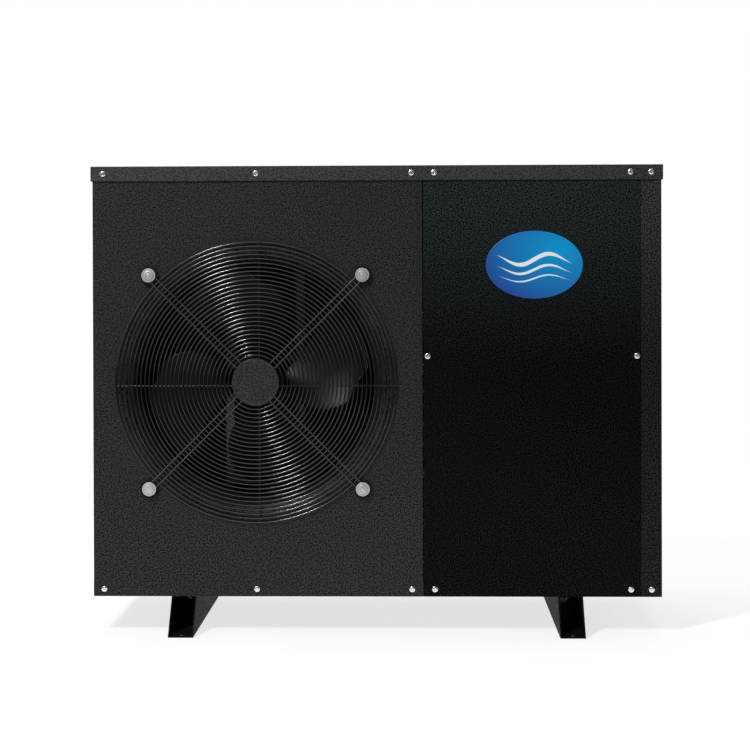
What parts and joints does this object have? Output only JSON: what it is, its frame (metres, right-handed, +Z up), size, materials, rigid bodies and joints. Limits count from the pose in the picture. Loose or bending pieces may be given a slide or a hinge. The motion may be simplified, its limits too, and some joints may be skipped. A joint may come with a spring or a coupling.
{
  "type": "heat pump unit",
  "caption": "Air-source pool heat pump: wide black sheet-metal cabinet on two channel feet, round wire fan guard at one side, plain service panel at the other, water unions at the back.",
  "frame": {"origin": "centre of the footprint, at the ground under the foot rails", "axes": "+X towards the service side (right, seen from the front), -Y out of the front with the fan guard, +Z up"},
  "size_m": [1.0106, 0.5, 0.821],
  "materials": {
    "powder_coat_panel": "fine textured black powder coat",
    "powder_coat_trim": "fine textured black powder coat",
    "guard_wire": "gloss black powder coat on wire",
    "zinc_sheet": "zinc plated",
    "bright_screw": "bright stainless",
    "rubber": "matte",
    "badge_blue": "gloss film",
    "fan_plastic": "satin moulded",
    "shaft_steel": "ground",
    "motor_paint": "satin black",
    "copper_tube": "drawn copper",
    "aluminium_fin": "pressed fins",
    "brass_body": "turned",
    "shell_plastic": "moulded",
    "titanium": "drawn titanium",
    "pvc": "grey pipe plastic",
    "board": "solder mask",
    "electric_plastic": "moulded"
  },
  "bodies": {
    "cabinet": {"base_pan": "powder_coat_panel", "foot_rail_left": "powder_coat_trim", "foot_rail_right": "powder_coat_trim", "rail_bolts": "zinc_sheet", "drain_spout": "rubber", "lid": "powder_coat_trim", "fan_panel": "powder_coat_panel", "service_panel": "powder_coat_panel", "right_side_panel": "powder_coat_trim", "rear_panel": "powder_coat_panel", "rear_corner_post": "powder_coat_trim", "partition": "zinc_sheet", "left_coil_guard": "guard_wire", "rear_coil_guard": "guard_wire", "cable_glands": "rubber", "lid_screws": "bright_screw", "panel_screws": "bright_screw", "guard_rings": "guard_wire", "guard_hairpins": "guard_wire", "guard_cross_wires": "guard_wire", "guard_disc": "guard_wire", "guard_spacers": "rubber", "guard_washers": "bright_screw", "guard_bolts": "bright_screw", "badge": "badge_blue", "motor_stator": "copper_tube", "motor_bearings": "shaft_steel", "motor_housing": "motor_paint", "motor_end_cap": "motor_paint", "motor_bracket": "powder_coat_trim", "motor_screws": "bright_screw", "motor_cable": "rubber", "evaporator_fins": "aluminium_fin", "evaporator_bends": "copper_tube", "evaporator_headers": "copper_tube", "compressor": "motor_paint", "compressor_grommets": "rubber", "compressor_bolts": "zinc_sheet", "accumulator": "motor_paint", "reversing_valve": "brass_body", "filter_drier": "copper_tube", "expansion_valve": "brass_body", "refrigerant_pipes": "copper_tube", "heat_exchanger_shell": "shell_plastic", "heat_exchanger_coil": "titanium", "water_inlet_pipe": "pvc", "water_outlet_pipe": "pvc", "union_tailpieces": "pvc", "flow_switch": "zinc_sheet", "electric_box": "zinc_sheet", "control_board": "board", "electric_parts": "electric_plastic"},
    "fan": {"fan_impeller": "fan_plastic", "hub_nut": "bright_screw", "motor_shaft": "shaft_steel", "motor_rotor": "shaft_steel"},
    "flow_paddle": {"flow_paddle": "shaft_steel"},
    "inlet_nut": {"inlet_union_nut": "pvc"},
    "outlet_nut": {"outlet_union_nut": "pvc"},
    "port_cap": {"service_port_cap": "brass_body"}
  },
  "joints": [
    {"name": "fan_spin", "type": "hinge", "parent": "cabinet", "child": "fan", "pos_m": [-0.212, 0, 0.441], "axis": [0, 1, 0], "continuous": true},
    {"name": "flow_paddle_swing", "type": "hinge", "parent": "cabinet", "child": "flow_paddle", "pos_m": [0.4, 0.17, 0.191], "axis": [-1, 0, 0], "range_deg": [0, 20], "stiffness_Nm_per_rad": 0.02},
    {"name": "inlet_nut_turn", "type": "hinge", "parent": "cabinet", "child": "inlet_nut", "pos_m": [0.4, 0.21, 0.158], "axis": [0, 1, 0], "continuous": true},
    {"name": "outlet_nut_turn", "type": "hinge", "parent": "cabinet", "child": "outlet_nut", "pos_m": [0.4, 0.21, 0.503], "axis": [0, 1, 0], "continuous": true},
    {"name": "port_cap_turn", "type": "hinge", "parent": "cabinet", "child": "port_cap", "pos_m": [0.2, -0.1, 0.4565], "axis": [0, 1, 0], "continuous": true}
  ]
}
